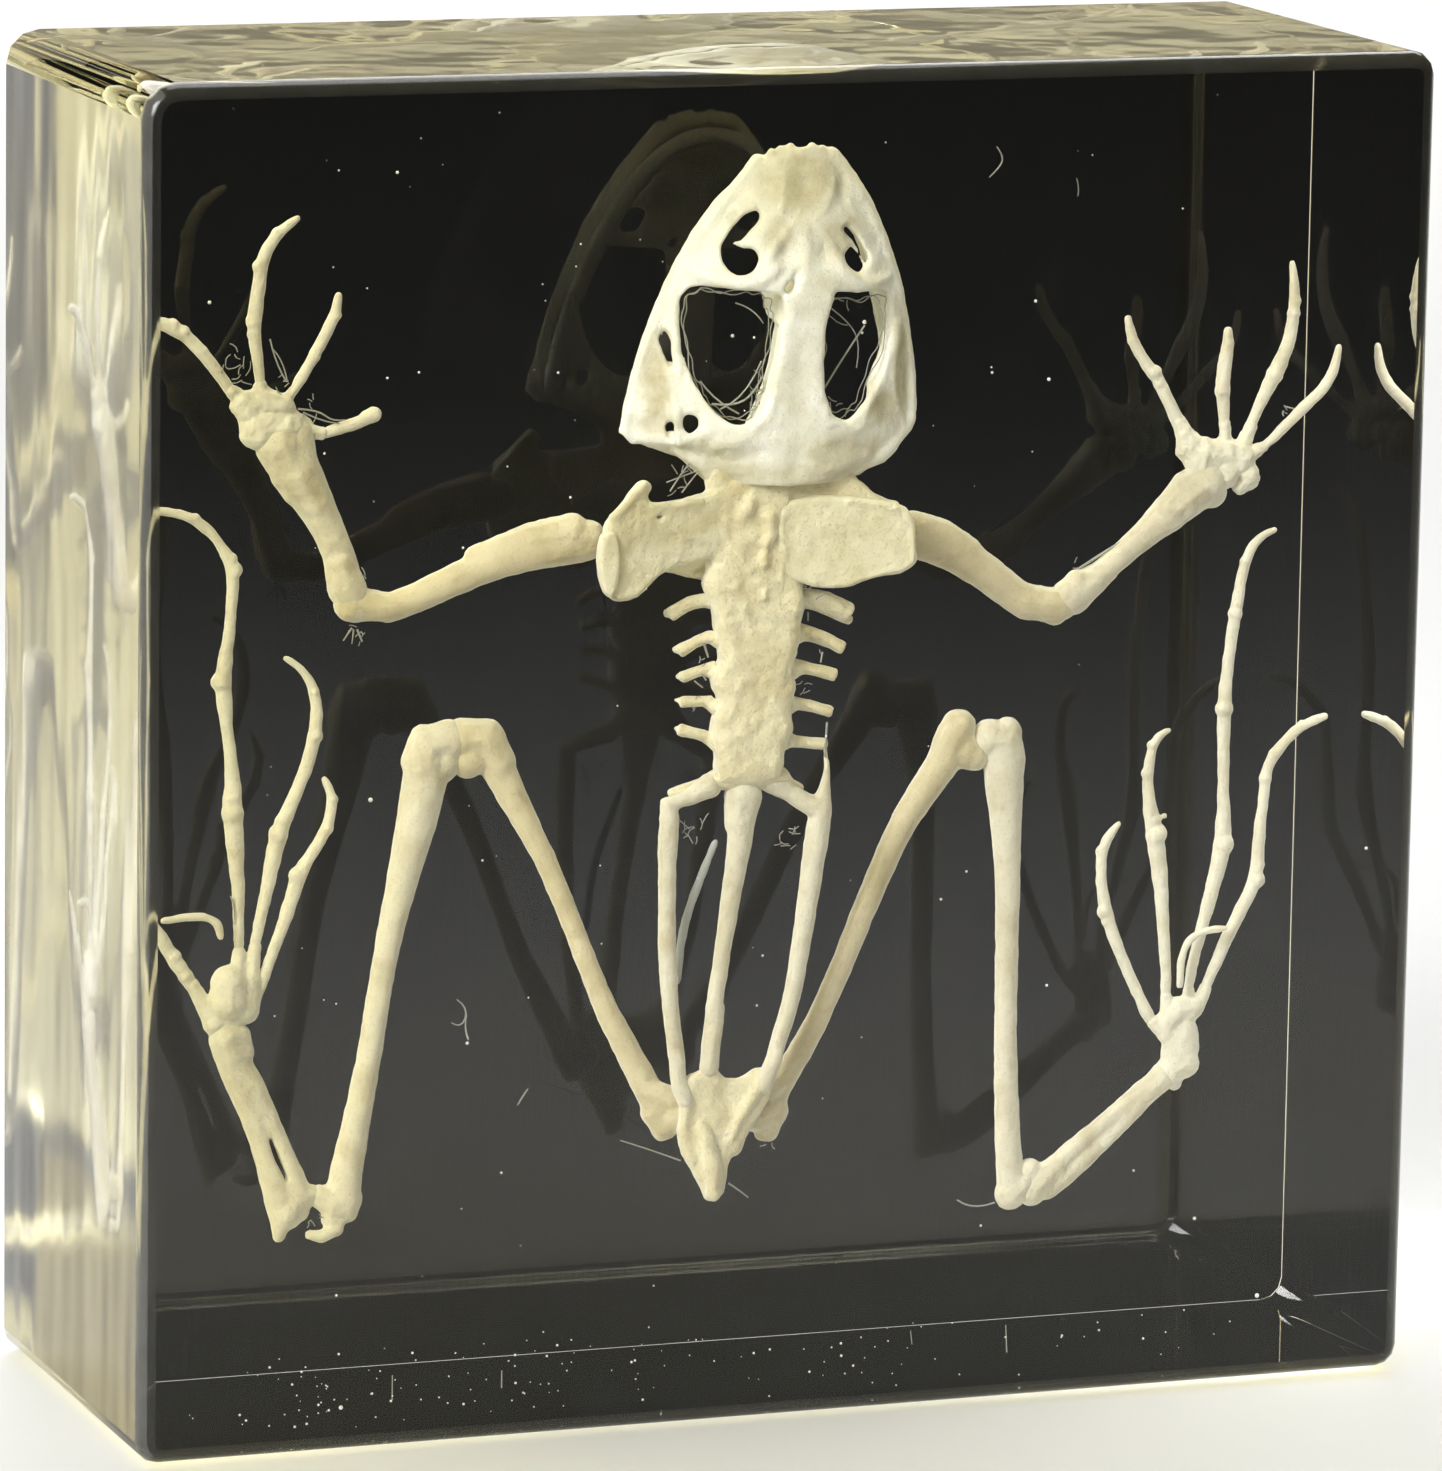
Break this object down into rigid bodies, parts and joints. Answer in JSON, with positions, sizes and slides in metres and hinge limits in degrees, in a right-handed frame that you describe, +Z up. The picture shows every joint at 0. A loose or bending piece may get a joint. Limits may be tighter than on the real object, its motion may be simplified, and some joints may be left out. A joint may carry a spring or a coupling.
{
  "type": "frog skeleton in resin block",
  "caption": "Small frog skeleton spread flat and cast in an upright clear resin block with bevelled edges and a black back.",
  "frame": {"origin": "middle of the block's footprint, on its flat bottom face", "axes": "+Z up towards the skull, +X to the viewer's right, -Y out of the polished front face"},
  "size_m": [0.075, 0.028, 0.0755],
  "materials": {
    "clear_resin": "clear cast resin with polished faces, faintly straw-coloured",
    "black_card": "black sheet behind the block, matt",
    "skull_bone": "pale ivory bone, slightly translucent",
    "spine_bone": "yellowish bone with darker dried tissue",
    "shoulder_bone": "yellowish thin bone and cartilage",
    "limb_bone": "warm ivory bone, satin",
    "digit_bone": "pale ivory bone, satin"
  },
  "bodies": {
    "root": {"resin_front": "clear_resin", "resin_back": "clear_resin", "black_backing": "black_card", "skull": "skull_bone", "lower_jaw": "skull_bone", "vertebra_1": "spine_bone", "vertebra_2": "spine_bone", "vertebra_3": "spine_bone", "vertebra_4": "spine_bone", "vertebra_5": "spine_bone", "vertebra_6": "spine_bone", "vertebra_7": "spine_bone", "vertebra_8": "spine_bone", "vertebra_9": "spine_bone", "scapula_left": "shoulder_bone", "scapula_right": "shoulder_bone", "suprascapula_left": "shoulder_bone", "suprascapula_right": "shoulder_bone", "breast_bone": "shoulder_bone", "humerus_left": "limb_bone", "radioulna_left": "limb_bone", "femur_left": "limb_bone", "tibiofibula_left": "limb_bone", "ankle_bones_left": "limb_bone", "carpals_left": "digit_bone", "foot_base_left": "digit_bone", "finger_left_1": "digit_bone", "finger_left_2": "digit_bone", "finger_left_3": "digit_bone", "finger_left_4": "digit_bone", "toe_left_1": "digit_bone", "toe_left_2": "digit_bone", "toe_left_3": "digit_bone", "toe_left_4": "digit_bone", "toe_left_5": "digit_bone", "humerus_right": "limb_bone", "radioulna_right": "limb_bone", "femur_right": "limb_bone", "tibiofibula_right": "limb_bone", "ankle_bones_right": "limb_bone", "carpals_right": "digit_bone", "foot_base_right": "digit_bone", "finger_right_1": "digit_bone", "finger_right_2": "digit_bone", "finger_right_3": "digit_bone", "finger_right_4": "digit_bone", "toe_right_1": "digit_bone", "toe_right_2": "digit_bone", "toe_right_3": "digit_bone", "toe_right_4": "digit_bone", "toe_right_5": "digit_bone", "ilium_left": "limb_bone", "ilium_right": "limb_bone", "urostyle": "limb_bone", "ischium": "limb_bone", "tendon": "limb_bone"}
  },
  "joints": []
}
